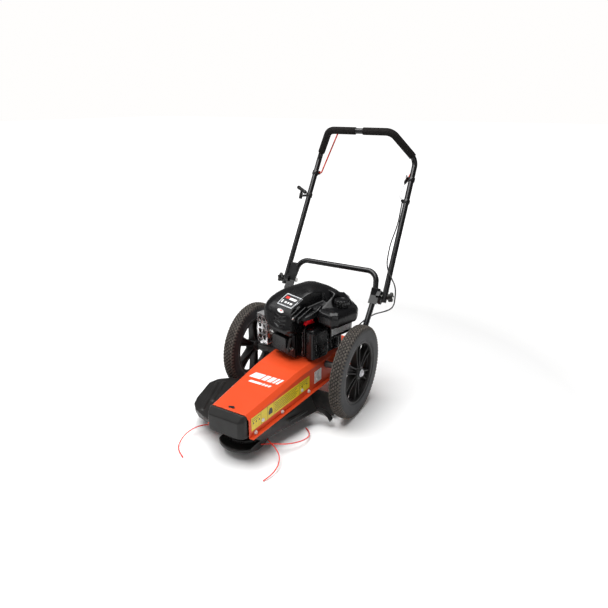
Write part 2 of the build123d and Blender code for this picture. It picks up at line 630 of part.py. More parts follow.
# ---------------------------------------------------------------- cords, origin and export
for name, points in line_routes.items():
    parts[name], radii, length = cable(points, LINE_R)
    volume = math.pi * LINE_R ** 2 * length
    print(name, "length", round(length, 1), "radii", [round(r) for r in radii],
          "volume ratio", round(parts[name].volume / volume, 4))
for name, points in (("cable_upper", cable_top), ("cable_lower", cable_low)):
    parts[name], radii, length = cable(points, CABLE_R)
    volume = math.pi * CABLE_R ** 2 * length
    print(name, "length", round(length, 1), "radii", [round(r) for r in radii],
          "volume ratio", round(parts[name].volume / volume, 4))

boxes = [shape.bounding_box() for name, shape in parts.items() if not name.startswith("trimmer_line")]
low = [min(getattr(b.min, a) for b in boxes) for a in "XYZ"]
high = [max(getattr(b.max, a) for b in boxes) for a in "XYZ"]
shift = (-(low[0] + high[0]) / 2, -(low[1] + high[1]) / 2, -low[2])
print("shift", [round(v, 4) for v in shift], "low", low, "high", high)

os.makedirs("parts", exist_ok=True)
for name, shape in parts.items():
    solids = [Pos(*shift) * solid for solid in shape.solids()]
    export_step(solids[0] if len(solids) == 1 else Compound(solids), f"parts/{name}.step")
print(len(parts), "nodes")
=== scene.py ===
"""The brush mower's looks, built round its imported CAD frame.

Lengths are in millimetres in the CAD source's drawing frame, whose origin is on the floor
under the middle of the axle: +X is the operator's left, +Y the rear and +Z up.
at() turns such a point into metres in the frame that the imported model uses.
"""

import json
from math import atan2, cos, hypot, pi, radians, sin, sqrt, tan

import bmesh
import bpy
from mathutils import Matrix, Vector


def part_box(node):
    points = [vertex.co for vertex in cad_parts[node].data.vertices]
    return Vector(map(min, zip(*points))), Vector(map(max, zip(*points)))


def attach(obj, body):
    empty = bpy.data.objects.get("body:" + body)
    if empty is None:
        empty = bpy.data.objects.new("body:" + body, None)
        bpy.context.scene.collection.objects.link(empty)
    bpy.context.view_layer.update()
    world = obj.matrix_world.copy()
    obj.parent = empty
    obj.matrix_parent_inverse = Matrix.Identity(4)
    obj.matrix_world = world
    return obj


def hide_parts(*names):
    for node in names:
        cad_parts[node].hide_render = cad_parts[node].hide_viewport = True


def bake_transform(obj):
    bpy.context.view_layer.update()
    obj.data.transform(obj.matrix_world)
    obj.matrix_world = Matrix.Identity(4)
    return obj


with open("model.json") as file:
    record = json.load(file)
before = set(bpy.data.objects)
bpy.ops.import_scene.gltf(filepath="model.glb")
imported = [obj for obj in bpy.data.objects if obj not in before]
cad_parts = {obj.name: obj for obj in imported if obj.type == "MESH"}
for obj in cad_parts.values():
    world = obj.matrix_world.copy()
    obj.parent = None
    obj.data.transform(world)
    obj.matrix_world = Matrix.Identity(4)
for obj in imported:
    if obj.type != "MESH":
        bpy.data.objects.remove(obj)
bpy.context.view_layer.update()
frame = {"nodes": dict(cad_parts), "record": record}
nodes = frame["nodes"]
scene = bpy.context.scene

MM = 0.001
WELD = 0.00002  # metres: closer points of a CAD mesh are merged
axle_low, axle_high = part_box("axles")
ORIGIN = Vector(((axle_low.x + axle_high.x) / 2, (axle_low.y + axle_high.y) / 2, 0.0))

# -------- driving sizes, as in the CAD source
WHEEL_R, TRACK_HALF, RIM_R = 178.0, 231.6, 121.0
AXLE_R = 8.0
LINE_R = 1.95
FOLD_Y, FOLD_Z, FOLD_X, LOWER_X = 258.5, 394.0, 232.0, 193.0
TUBE_R, GRIP_R = 11.1, 15.0
BEND = (222.0, 545.0, 894.0)
CORNER = (141.0, 469.0, 1005.0)
HANDLE_BEND_R = 45.0
BAIL_R = 3.2
CABLE_R = 2.6
DECK_FRONT_Y, DECK_MID_Y = -461.0, -170.0
DECK_FRONT_Z, DECK_TOP_Z = 188.0, 213.0
DECK_FRONT_HALF, DECK_TAPER = 80.0, 0.059
ENGINE_X, ENGINE_Y, ENGINE_TURN = 5.0, 30.0, radians(-15.0)
CAP_X, CAP_Y = 158.0, 59.0
TANK_X = 118.3


def at(x, y, z):
    """A drawing point, in mm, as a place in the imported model's frame, in metres."""
    return ORIGIN + Vector((x, y, z)) * MM


def engine_point(x, y, z):
    """A point drawn square to the engine, in drawing coordinates: the engine sits askew."""
    dx, dy = x - ENGINE_X, y - ENGINE_Y
    c, s = cos(ENGINE_TURN), sin(ENGINE_TURN)
    return ENGINE_X + dx * c - dy * s, ENGINE_Y + dx * s + dy * c, z


def askew(piece):
    """A piece drawn square to the engine, turned with it."""
    points, faces = piece
    return [engine_point(*p) for p in points], faces


def deck_half(y):
    """Outer half width of the deck channel at y."""
    return DECK_FRONT_HALF + DECK_TAPER * (y - DECK_FRONT_Y)


# -------- materials
def surface(mat, socket):
    """One of the Principled shader's inputs."""
    return mat.node_tree.nodes["Principled BSDF"].inputs[socket]


def new_material(name, color, roughness, metallic=0.0, **sockets):
    """A Principled material; sockets are its other uniform values, by name."""
    mat = bpy.data.materials.new(name)
    mat.use_nodes = True
    sockets.update(Base_Color=(*color, 1.0), Roughness=roughness, Metallic=metallic)
    for socket, value in sockets.items():
        surface(mat, socket.replace("_", " ")).default_value = value
    return mat


def noise(mat, scale, detail, stretch=(1.0, 1.0, 1.0)):
    """A noise pattern in the object's own coordinates; scale is in features per metre."""
    new = mat.node_tree.nodes.new
    link = mat.node_tree.links.new
    coords, mapping = new("ShaderNodeTexCoord"), new("ShaderNodeMapping")
    texture = new("ShaderNodeTexNoise")
    mapping.inputs["Scale"].default_value = stretch
    texture.inputs["Scale"].default_value = scale
    texture.inputs["Detail"].default_value = detail
    link(coords.outputs["Object"], mapping.inputs["Vector"])
    link(mapping.outputs["Vector"], texture.inputs["Vector"])
    return texture.outputs["Fac"]


def cells(mat, scale):
    """A cell pattern in the object's own coordinates: the distance to each cell's middle."""
    new = mat.node_tree.nodes.new
    link = mat.node_tree.links.new
    coords, texture = new("ShaderNodeTexCoord"), new("ShaderNodeTexVoronoi")
    texture.inputs["Scale"].default_value = scale
    link(coords.outputs["Object"], texture.inputs["Vector"])
    return texture.outputs["Distance"]


def remap(mat, value, low, high, to_low, to_high):
    """value from low..high, mapped on to_low..to_high."""
    node = mat.node_tree.nodes.new("ShaderNodeMapRange")
    for socket, number in zip(("From Min", "From Max", "To Min", "To Max"), (low, high, to_low, to_high)):
        node.inputs[socket].default_value = number
    mat.node_tree.links.new(value, node.inputs["Value"])
    return node.outputs["Result"]


def tint(mat, fac, color_a, color_b):
    """Base colour that goes from color_a to color_b with fac."""
    mix = mat.node_tree.nodes.new("ShaderNodeMix")
    mix.data_type = "RGBA"
    mix.inputs["A"].default_value = (*color_a, 1.0)
    mix.inputs["B"].default_value = (*color_b, 1.0)
    mat.node_tree.links.new(fac, mix.inputs["Factor"])
    mat.node_tree.links.new(mix.outputs["Result"], surface(mat, "Base Color"))


def patched(mat, scale, detail, low, high, color_a, color_b):
    """Patches of two tones: color_a where the noise is below low, color_b where it's above high."""
    tint(mat, remap(mat, noise(mat, scale, detail), low, high, 0.0, 1.0), color_a, color_b)


def roughen(mat, fac, low, high):
    """Roughness from low to high with fac."""
    mat.node_tree.links.new(remap(mat, fac, 0.3, 0.7, low, high), surface(mat, "Roughness"))


def bump(mat, height, depth_mm, strength=1.0):
    """Relief that is depth_mm deep where height goes from 0 to 1."""
    node = mat.node_tree.nodes.new("ShaderNodeBump")
    node.inputs["Strength"].default_value = strength
    node.inputs["Distance"].default_value = depth_mm * MM
    mat.node_tree.links.new(height, node.inputs["Height"])
    mat.node_tree.links.new(node.outputs["Normal"], surface(mat, "Normal"))


def shade(color, factor):
    """A colour made darker or lighter."""
    return tuple(min(1.0, c * factor) for c in color)


def painted(name, color, roughness, coat=0.2):
    """Powder coat: faint orange peel, a little dust and tone variation."""
    mat = new_material(name, color, roughness, Specular_IOR_Level=0.3, Coat_Weight=coat, Coat_Roughness=0.1)
    patched(mat, 7, 2, 0.3, 0.7, shade(color, 0.96), shade(color, 1.03))
    roughen(mat, noise(mat, 30, 2), roughness - 0.04, roughness + 0.05)
    bump(mat, noise(mat, 700, 2), 0.02)
    return mat


def moulded(name, color, roughness, grain=0.06):
    """Moulded plastic: fine spark-eroded grain, and patches of slightly different gloss."""
    mat = new_material(name, color, roughness, Specular_IOR_Level=0.3)
    patched(mat, 14, 4, 0.35, 0.65, shade(color, 0.85), shade(color, 1.2))
    roughen(mat, noise(mat, 25, 4), roughness - 0.07, roughness + 0.09)
    bump(mat, noise(mat, 2200, 2), grain)
    return mat


def metal(name, color, roughness, grain=0.03, stretch=(1.0, 1.0, 1.0), metallic=1.0):
    """Bare or plated metal with fine grain and a cloudy tone."""
    mat = new_material(name, color, roughness, metallic=metallic)
    patched(mat, 60, 6, 0.3, 0.7, shade(color, 0.72), shade(color, 1.15))
    roughen(mat, noise(mat, 120, 4), max(0.05, roughness - 0.1), roughness + 0.12)
    bump(mat, noise(mat, 1500, 3, stretch), grain)
    return mat


def mottled(name, color, roughness, patches, tones, relief, **sockets):
    """Goes from one tone to the other in patches, with fine relief.

    patches is (features per metre, detail, noise level of the first tone, of the second), and
    relief is (features per metre, detail, depth in mm).
    """
    mat = new_material(name, color, roughness, **sockets)
    patched(mat, *patches, *tones)
    scale, detail, depth = relief
    bump(mat, noise(mat, scale, detail), depth)
    return mat


def foamed(name, color, roughness):
    """Cellular foam: lighter cells, with painted shade darkening the pits between them."""
    mat = new_material(name, color, roughness, Specular_IOR_Level=0.2)
    # painted shade: darker away from each cell's middle, standing for the shade in the pits between cells
    tint(mat, remap(mat, cells(mat, 900), 0.1, 0.7, 0.0, 1.0), (0.015, 0.013, 0.012), (0.005, 0.0045, 0.0045))
    bump(mat, cells(mat, 900), 0.5, 0.8)
    return mat


def pleated(name, color, roughness):
    """The filter's element: pleats round its side, with painted shade that darkens the pleats' hollows."""
    mat = new_material(name, color, roughness)
    pleats = (1.0, 12.0, 1.0)
    # painted shade: the same noise as the relief below, so the colour is darker in the hollows than on the
    # crests
    tint(mat, noise(mat, 300, 4, pleats), (0.5, 0.45, 0.32), (0.7, 0.65, 0.5))
    bump(mat, noise(mat, 300, 4, pleats), 0.6)
    return mat


def make_materials():
    made = {}

    def keep(kind, name, *values, **sockets):
        made[name] = kind(name, *values, **sockets)

    keep(painted, "orange_paint", (0.67, 0.068, 0.017), 0.36, 0.05)
    keep(painted, "black_paint", (0.006, 0.006, 0.0065), 0.24)
    keep(painted, "red_rod", (0.5, 0.035, 0.012), 0.34, 0.05)
    keep(moulded, "black_plastic", (0.011, 0.0105, 0.01), 0.44)
    keep(moulded, "engine_plastic", (0.0045, 0.0045, 0.005), 0.25, 0.03)
    keep(moulded, "red_plastic", (0.78, 0.012, 0.02), 0.28, 0.01)
    keep(metal, "hub_grey", (0.6, 0.6, 0.63), 0.32, metallic=0.6)
    keep(metal, "zinc", (0.8, 0.79, 0.77), 0.34, metallic=0.35)
    keep(metal, "steel", (0.42, 0.41, 0.4), 0.32, 0.03, (1.0, 1.0, 12.0))
    keep(metal, "chrome_guard", (0.8, 0.8, 0.81), 0.2, 0.01, metallic=0.75)
    keep(metal, "cast_aluminium", (0.42, 0.42, 0.43), 0.45, 0.15)
    keep(metal, "black_aluminium", (0.05, 0.05, 0.052), 0.42, 0.12)
    keep(metal, "cast_iron", (0.16, 0.155, 0.15), 0.55, 0.2)
    keep(mottled, "tyre_rubber", (0.03, 0.028, 0.026), 0.75, (60, 6, 0.35, 0.7),
         ((0.014, 0.013, 0.012), (0.034, 0.031, 0.028)), (900, 4, 0.15), Specular_IOR_Level=0.2)
    keep(mottled, "tread_tips", (0.1, 0.09, 0.08), 0.8, (90, 5, 0.3, 0.7),
         ((0.055, 0.048, 0.043), (0.13, 0.115, 0.1)), (1100, 3, 0.2), Specular_IOR_Level=0.2)
    keep(mottled, "sidewall_rubber", (0.03, 0.03, 0.033), 0.5, (30, 6, 0.35, 0.65),
         ((0.013, 0.013, 0.0145), (0.024, 0.024, 0.0265)), (1200, 3, 0.06), Specular_IOR_Level=0.3)
    keep(mottled, "rubber", (0.012, 0.012, 0.012), 0.62, (40, 5, 0.35, 0.65),
         ((0.008, 0.008, 0.008), (0.022, 0.021, 0.02)), (700, 4, 0.12), Specular_IOR_Level=0.35)
    keep(foamed, "foam", (0.016, 0.014, 0.013), 0.92)
    keep(mottled, "nylon_line", (0.83, 0.045, 0.025), 0.28, (60, 3, 0.35, 0.65),
         ((0.72, 0.03, 0.02), (0.9, 0.075, 0.045)), (500, 2, 0.04),
         Subsurface_Weight=0.15, Subsurface_Scale=0.002)
    keep(mottled, "rope", (0.62, 0.62, 0.6), 0.75, (900, 3, 0.4, 0.6),
         ((0.35, 0.35, 0.34), (0.75, 0.75, 0.72)), (900, 3, 0.4))
    keep(pleated, "filter_foam", (0.6, 0.55, 0.4), 0.85)
    for name, color, roughness in (
            ("label_yellow", (0.78, 0.6, 0.02), 0.4), ("label_white", (0.8, 0.8, 0.8), 0.32),
            ("label_black", (0.015, 0.015, 0.017), 0.3), ("label_silver", (0.55, 0.56, 0.58), 0.22),
            ("label_red", (0.75, 0.03, 0.02), 0.3), ("label_grey", (0.28, 0.29, 0.3), 0.35)):
        keep(mottled, name, color, roughness, (120, 5, 0.35, 0.65),
             (shade(color, 0.92), shade(color, 1.04)), (600, 2, 0.01), Coat_Weight=0.05)
    return made


materials = make_materials()


# -------- mesh builders
def linked(name, data):
    """A new object in the scene."""
    obj = bpy.data.objects.new(name, data)
    scene.collection.objects.link(obj)
    return obj


def evaluated(obj):
    """A new mesh of the object as its modifiers and settings make it."""
    graph = bpy.context.evaluated_depsgraph_get()
    return bpy.data.meshes.new_from_object(obj.evaluated_get(graph))


def welded(obj):
    """Merges the doubled points of a CAD mesh."""
    obj.modifiers.new("weld", "WELD").merge_threshold = WELD
    return obj


def raw(name, piece):
    """An object made of one (points, faces) piece given in drawing mm."""
    points, faces = piece
    data = bpy.data.meshes.new(name)
    data.from_pydata([at(*p) for p in points], [], faces)
    bm = bmesh.new()
    bm.from_mesh(data)
    bmesh.ops.recalc_face_normals(bm, faces=bm.faces)
    bm.to_mesh(data)
    bm.free()
    return linked(name, data)


def finished(obj, material, body, angle=35.0, node=None):
    """Sets what a piece looks like, hangs it under its body's empty unless body is None, and hides the CAD
    node that it takes the place of.
    """
    obj.data.materials.clear()
    obj.data.materials.append(materials[material])
    obj.data.shade_smooth()
    obj.data.set_sharp_from_angle(angle=radians(angle))
    if body:
        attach(obj, body)
    if node:
        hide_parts(node)
    return obj


def add(name, piece, material, body, angle=35.0, node=None):
    """A finished object made of one (points, faces) piece given in drawing mm."""
    return finished(raw(name, piece), material, body, angle, node)


def bevelled(obj, width):
    """Rounds the piece's sharp edges by width mm."""
    mod = obj.modifiers.new("bevel", "BEVEL")
    mod.width = width * MM
    mod.segments = 2
    mod.limit_method = "ANGLE"
    mod.angle_limit = radians(32)
    mod.harden_normals = True


def baked(obj):
    """Applies the piece's modifiers to its own mesh."""
    old, data = obj.data, evaluated(obj)
    obj.modifiers.clear()
    obj.data = data
    bpy.data.meshes.remove(old)
    return obj


def joined(pieces):
    """One (points, faces) piece made of several."""
    points, faces = [], []
    for piece_points, piece_faces in pieces:
        start = len(points)
        points += list(piece_points)
        faces += [tuple(start + i for i in face) for face in piece_faces]
    return points, faces


def loft(rings):
    """Quads between rings of equally many points, with flat ends."""
    count = len(rings[0])
    points = [p for ring in rings for p in ring]
    faces = []
    for i in range(len(rings) - 1):
        for j in range(count):
            k = (j + 1) % count
            faces.append((i * count + j, i * count + k, (i + 1) * count + k, (i + 1) * count + j))
    faces.append(tuple(range(count)))
    faces.append(tuple((len(rings) - 1) * count + j for j in range(count)))
    return points, faces


def ring_loft(rings):
    """A closed loop of rings, as in a tyre: the last ring joins the first."""
    count, total = len(rings[0]), len(rings)
    faces = []
    for i in range(total):
        for j in range(count):
            a, b, k = i * count, (i + 1) % total * count, (j + 1) % count
            faces.append((a + j, a + k, b + k, b + j))
    return [p for ring in rings for p in ring], faces


def hull(points):
    """The convex piece round some points."""
    bm = bmesh.new()
    for p in points:
        bm.verts.new(p)
    made = bmesh.ops.convex_hull(bm, input=bm.verts)
    inside = {v for v in made["geom_interior"] + made["geom_unused"]
              if isinstance(v, bmesh.types.BMVert)}
    bmesh.ops.delete(bm, geom=list(inside), context="VERTS")
    bm.verts.index_update()
    piece = [tuple(v.co) for v in bm.verts], [tuple(v.index for v in f.verts) for f in bm.faces]
    bm.free()
    return piece


def block(x0, x1, y0, y1, z0, z1):
    """A box between its limits."""
    return hull([(x, y, z) for x in (x0, x1) for y in (y0, y1) for z in (z0, z1)])


def rounded_rect(x0, x1, y0, y1, r, z):
    """A rectangle's outline with round corners, at height z."""
    ring, steps = [], 6
    for cx, cy, start in ((x1 - r, y1 - r, 0), (x0 + r, y1 - r, 90),
                          (x0 + r, y0 + r, 180), (x1 - r, y0 + r, 270)):
        for k in range(steps + 1):
            a = radians(start + 90 * k / steps)
            ring.append((cx + r * cos(a), cy + r * sin(a), z))
    return ring


def circle(centre, axis, r, count=32):
    """A ring of points round centre, square to axis."""
    turn = Vector(axis).to_track_quat("Z", "Y")
    angles = (2 * pi * k / count for k in range(count))
    return [tuple(Vector(centre) + turn @ Vector((r * cos(a), r * sin(a), 0))) for a in angles]


def rod(a, b, r, count=32, r_end=None):
    """A round bar from a to b, or a cone if its end has another radius."""
    axis = Vector(b) - Vector(a)
    return loft([circle(a, axis, r, count), circle(b, axis, r_end or r, count)])


def turned_part(centre, axis, profile, count=48):
    """A solid of revolution: profile is (distance along axis, radius) from end to end."""
    axis = Vector(axis).normalized()
    return loft([circle(Vector(centre) + axis * d, axis, r, count) for d, r in profile])


def bent_path(points, radii, steps=10):
    """Points along a bent tube's centre line, with one bend radius for each corner."""
    path = [Vector(points[0])]
    for a, b, c, r in zip(points, points[1:], points[2:], radii):
        a, b, c = Vector(a), Vector(b), Vector(c)
        u, v = (a - b).normalized(), (c - b).normalized()
        half = u.angle(v) / 2
        reach = r / tan(half)
        centre = b + (u + v).normalized() * (r / sin(half))
        start = (b + u * reach - centre).normalized()
        end = (b + v * reach - centre).normalized()
        for k in range(steps + 1):
            path.append(centre + start.slerp(end, k / steps) * r)
    path.append(Vector(points[-1]))
    return path


def tube(path, radius, count=24):
    """A tube along a path; radius is a number, or one for each point."""
    radii = radius if isinstance(radius, (list, tuple)) else [radius] * len(path)
    rings, normal = [], None
    for i, p in enumerate(path):
        before, after = path[max(i - 1, 0)], path[min(i + 1, len(path) - 1)]
        direction = (after - before).normalized()
        if normal is None:
            normal = direction.orthogonal().normalized()
        normal = (normal - direction * normal.dot(direction)).normalized()
        side = direction.cross(normal)
        rings.append([tuple(p + (normal * cos(a) + side * sin(a)) * radii[i])
                      for a in (2 * pi * k / count for k in range(count))])
    return loft(rings)


def softened(obj, voxel, passes):
    """Remeshes the piece at voxel mm and smooths it, which rounds its edges like a moulding's."""
    remesh = obj.modifiers.new("remesh", "REMESH")
    remesh.mode = "VOXEL"
    remesh.voxel_size = voxel * MM
    if passes:
        smooth = obj.modifiers.new("smooth", "SMOOTH")
        smooth.factor = 0.5
        smooth.iterations = passes
    return baked(obj)


def combined(obj, pieces, operation):
    """Closed pieces taken away from the object (DIFFERENCE) or joined on to it (UNION)."""
    for piece in pieces:
        other = raw("other", piece)
        mod = obj.modifiers.new("combine", "BOOLEAN")
        mod.operation = operation
        mod.object = other
        baked(obj)
        bpy.data.objects.remove(other)
    return obj


def moulding(name, pieces, cuts, voxel, passes, material, body, node=None):
    """Closed pieces joined, cuts taken away, and every edge softened."""
    obj = softened(raw(name, joined(pieces)), voxel, 0)
    combined(obj, cuts, "DIFFERENCE")
    return finished(softened(obj, voxel, passes), material, body, 180.0, node)


def engine_moulding(name, pieces, cuts, voxel, passes, node=None, material="engine_plastic", body="root"):
    """A moulding whose pieces are drawn square to the engine."""
    return moulding(name, [askew(p) for p in pieces], [askew(p) for p in cuts], voxel, passes, material,
                    body, node)


# -------- CAD nodes that keep their shape
def dress_nodes():
    """Each CAD node gets its slot's material and slightly rounded edges."""
    slot_of = {part["node"]: part["material_slot"] for part in frame["record"]["subparts"]}
    usual_edge = 0.6
    edge = {"deck": 1.2, "bolts": 0.5, "cylinder": 0.5, "crankcase": 1.5, "fold_clamps": 1.5,
            "lower_handle": 0.0, "upper_handle": 0.0, "drive_belt": 0.5}
    darker = {"axles": "cast_iron", "fold_clamps": "engine_plastic", "valve_cover": "engine_plastic"}
    for name, obj in nodes.items():
        obj.data.materials.clear()
        obj.data.materials.append(materials[darker.get(name, slot_of[name])])
        welded(obj)
        width = edge.get(name, usual_edge)
        if width:
            bevelled(obj, width)


dress_nodes()


# -------- wheels
TREAD_ROWS = (-15.5, -7.8, 0.0, 7.8, 15.5)
TREAD_PITCHES = 78
KNOB_HEIGHT = 3.0


def on_wheel(side, r, w, a):
    """A wheel point: radius r, w outwards from the wheel's middle plane, angle a."""
    return side * (TRACK_HALF + w), r * cos(a), WHEEL_R + r * sin(a)


def lathe_wheel(side, profile, count):
    """A closed profile of (radius, w) turned about the wheel's axis."""
    angles = (2 * pi * k / count for k in range(count))
    return ring_loft([[on_wheel(side, r, w, a) for r, w in profile] for a in angles])


def crown(w):
    """Radius of the tread's floor at w: it drops by 2.6 mm from the middle to 16 mm out."""
    return WHEEL_R - KNOB_HEIGHT - 2.6 * (abs(w) / 16) ** 2.4


def tread_knobs(side):
    """Staggered diamond knobs over the crown, and square lugs on both shoulders."""
    pieces = []
    pitch = 2 * pi / TREAD_PITCHES
    half_length, half_width, taper = pitch * 0.46, 4.4, 0.72
    corners = ((-half_length, 0), (0, -half_width), (half_length, 0), (0, half_width))
    for row, w in enumerate(TREAD_ROWS):
        for k in range(TREAD_PITCHES):
            a = pitch * (k + 0.5 * (row % 2))
            base = [on_wheel(side, crown(w + dw) - 0.6, w + dw, a + da) for da, dw in corners]
            top = [on_wheel(side, crown(w + dw * taper) + KNOB_HEIGHT - 0.1, w + dw * taper, a + da * taper)
                   for da, dw in corners]
            pieces.append(loft([base, top]))
    lug = ((160, 22.3), (163, 22.72), (171.5, 20.6), (172.5, 17.5), (168, 18))
    half_lug = half_length * 0.55
    for edge in (-1, 1):
        for k in range(TREAD_PITCHES):
            a = pitch * (k + 0.5)
            pieces.append(loft([[on_wheel(side, r, edge * w, a + da) for r, w in lug]
                                for da in (-half_lug, half_lug)]))
    return joined(pieces)


def add_tyre(name, side, body):
    """The carcass, the dark floor of the tread, and the lighter tops of its knobs."""
    carcass = [(RIM_R, -18), (124, -20.3), (132, -21.6), (136, -21.4), (150, -22.5), (162, -22.4),
               (168, -20.8), (171.8, -16), (174, -9), (175, 0), (174, 9), (171.8, 16), (168, 20.8),
               (162, 22.4), (150, 22.5), (136, 21.4), (132, 21.6), (124, 20.3), (RIM_R, 18)]
    part, slot = "tyre_" + name, "tyre_rubber"
    add(part + "_carcass", lathe_wheel(side, carcass, 120), "sidewall_rubber", body, 60, part)
    add(part + "_tread", tread_knobs(side), "tread_tips", body, 30)
    floor = [(crown(w) + 0.25, w) for w in (-19, -14, -8, 0, 8, 14, 19)]
    floor += [(r - 1.5, w) for r, w in reversed(floor)]
    add(part + "_tread_floor", lathe_wheel(side, floor, 120), slot, body, 60)


SPOKES = 6


def add_rim(name, side, body):
    """A moulded wheel: bead ring, hub, and six webbed spokes with a rib along each edge."""
    ring = [(RIM_R - 0.2, -18.4), (RIM_R - 0.2, 18.4), (117, 18.6), (113, 18.2), (110.5, 15), (110, 3),
            (106.5, 2.4), (106.5, -2.4), (110, -3), (110.5, -15), (113, -18.2), (117, -18.6)]
    hub = [(AXLE_R + 0.4, -25), (15, -25.4), (17, -22), (23, -21.6), (24, -20), (24, 20), (23, 21.6),
           (17, 22), (15, 25.4), (AXLE_R + 0.4, 25)]
    pieces = [lathe_wheel(side, ring, 96), lathe_wheel(side, hub, 48)]

    def spoke_ring(r, middle, half_width, half_depth, angle):
        """A bar's section at r from the axle and middle mm from the spoke's centre line."""
        ring = []
        for across, out in ((-1, -1), (1, -1), (1, 1), (-1, 1)):
            o = middle + across * half_width
            ring.append(on_wheel(side, hypot(r, o), out * half_depth, angle + atan2(o, r)))
        return ring

    web = [(r, 0, h, 2.6) for r, h in ((20, 8), (60, 11.5), (109, 18))]
    rib = ((19, 8, 17), (40, 9.7, 14), (75, 13, 11.5), (109, 18, 12.5))
    ribs = [[(r, edge * h, 2, d) for r, h, d in rib] for edge in (-1, 1)]
    brace = [(r, 0, 1.6, d) for r, d in ((20, 11), (60, 7), (109, 8))]
    for k in range(SPOKES):
        angle = 2 * pi * (k + 0.5) / SPOKES
        for bar in (web, *ribs, brace):
            pieces.append(loft([spoke_ring(*station, angle) for station in bar]))
    bevelled(add("rim_" + name + "_wheel", joined(pieces), "black_plastic", body, node="rim_" + name), 0.8)


def add_hub_cap(name, side, body):
    """A pressed push-on cap: flange, step and dome."""
    profile = [(25.7, 8.6), (25.8, 14.7), (27.0, 15.0), (28.0, 14.4), (28.2, 11.5), (31.5, 10.8),
               (32.9, 9.0), (33.7, 6.0), (34.0, 2.5), (34.0, 0.4)]
    dome = turned_part((side * TRACK_HALF, 0, WHEEL_R), (side, 0, 0), profile)
    add("hub_cap_" + name + "_pressing", dome, "hub_grey", body, 50, "hub_cap_" + name)


for wheel, wheel_side in (("left", 1), ("right", -1)):
    add_tyre(wheel, wheel_side, "wheel_" + wheel)
    add_rim(wheel, wheel_side, "wheel_" + wheel)
    add_hub_cap(wheel, wheel_side, "wheel_" + wheel)


# -------- handles
HANDLE_FOOT_Z = 372.0
GRIP_INNER_X = 17.0


def add_handles():
    """The lower loop, the upper handle, and the foam sleeves on its corners."""
    fold_half = [(124, 40, 150), (124, 84, 178), (LOWER_X, 132, 244), (LOWER_X, FOLD_Y - 6, FOLD_Z + 2),
                 (178, 294, 478)]
    lower = fold_half + [(-x, y, z) for x, y, z in reversed(fold_half)]
    loop = tube(bent_path(lower, [26, 40, 60, 46, 46, 60, 40, 26]), TUBE_R)
    add("lower_handle_tube", loop, "black_paint", "root", 50, "lower_handle")
    t = (HANDLE_FOOT_Z - FOLD_Z) / (BEND[2] - FOLD_Z)
    foot = (FOLD_X + t * (BEND[0] - FOLD_X), FOLD_Y + t * (BEND[1] - FOLD_Y), HANDLE_FOOT_Z)
    upper = [foot, BEND, CORNER]
    upper += [(-x, y, z) for x, y, z in reversed(upper)]
    bar = tube(bent_path(upper, [HANDLE_BEND_R] * 4), TUBE_R)
    add("upper_handle_tube", bar, "black_paint", "handle", 50, "upper_handle")

    steps, within_bend = 16, 14  # each sleeve starts this many of the steps into the handle's bend
    corners = [foot, BEND, CORNER, (GRIP_INNER_X, *CORNER[1:])]
    grip = bent_path(corners, [HANDLE_BEND_R] * 2, steps)[within_bend:]
    first, last = grip[0], grip[-1]
    into_first, into_last = (grip[1] - first).normalized(), (grip[-2] - last).normalized()
    ends = ((0.0, GRIP_R - 1.7), (0.6, GRIP_R - 0.5), (2.0, GRIP_R))
    path = [first + into_first * d for d, _ in ends] + grip[1:-1]
    path += [last + into_last * d for d, _ in reversed(ends)]
    radii = [r for _, r in ends] + [GRIP_R] * (len(grip) - 2) + [r for _, r in reversed(ends)]
    pieces = [tube([Vector((side * p.x, p.y, p.z)) for p in path], radii, 32) for side in (1, -1)]
    add("grip_sleeves", joined(pieces), "foam", "handle", 50, "grips")


add_handles()


def add_bail():
    """The rod, the plate and eye at its pivot, and the thin wire from there to the cable."""
    y, z = 512.0, 820.0  # the pivot
    points = [(-212.4, y, z), (-199, y, z), (-130, 540, 1000), (113, 540, 999), (205, 590, 892),
              (209, 556, 856), (204, y, z), (212.4, y, z)]
    rod_tube = tube(bent_path(points, [8, 22, 22, 18, 18, 3.5]), BAIL_R, 16)
    add("bail_rod", rod_tube, "red_rod", "bail", 50, "bail")
    plate = hull([(x, y + dy, z + dz) for x in (203, 206) for dy, dz in (
        (3, 9), (8, 0), (2, -9), (-32, -18), (-40, -10), (-37, -2), (-10, 9))])
    eye = [Vector((204.5, y - 16 + 6 * cos(a), z + 11 + 6 * sin(a)))
           for a in (radians(12 * k - 60) for k in range(26))]
    lever = joined([plate, tube(eye, 1.5, 10)])
    bevelled(add("bail_lever", lever, "black_plastic", "bail", 40), 0.6)
    corners = [(204.5, 474, 808), (205, 426, 759), (208.5, 462, 744)]
    wire = add("bail_wire", tube(bent_path(corners, [5]), 0.9, 10), "steel", None, 60)
    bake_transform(wire)


add_bail()


# -------- knobs, grip and caps
def lobed(r, depth, lobes, count):
    """A lobed outline's points: r and depth are the lobes' middle radius and height."""
    for k in range(count):
        a = 2 * pi * k / count
        reach = r + depth * cos(lobes * a)
        yield reach * cos(a), reach * sin(a)


def add_star_knob(name, side, body):
    """A five-lobed clamping knob with a boss towards the tube."""
    rings = []
    for x, r, depth in ((243.8, 11.5, 0.0), (251.0, 12.5, 0.5), (252.6, 15.0, 3.6), (254.5, 16.6, 4.2),
                        (262.0, 16.4, 4.2), (264.8, 14.8, 3.4), (265.9, 11.0, 2.0), (265.6, 6.5, 0.0)):
        rings.append([(side * x, FOLD_Y + u, FOLD_Z + v) for u, v in lobed(r, depth, 5, 60)])
    add("star_knob_" + name + "_moulding", loft(rings), "black_plastic", body, 40, "star_knob_" + name)


add_star_knob("left", 1, "knob_left")
add_star_knob("right", -1, "knob_right")

GRIP_AT = Vector((-262, 448, 750))                # middle of the starter's grip
PULL = Vector((0.095, 0.176, 0.98)).normalized()  # the way that the rope draws out
BAR = Vector((0.88, -0.475, -0.25)).normalized()  # along the grip
STRAND_R = 2.2


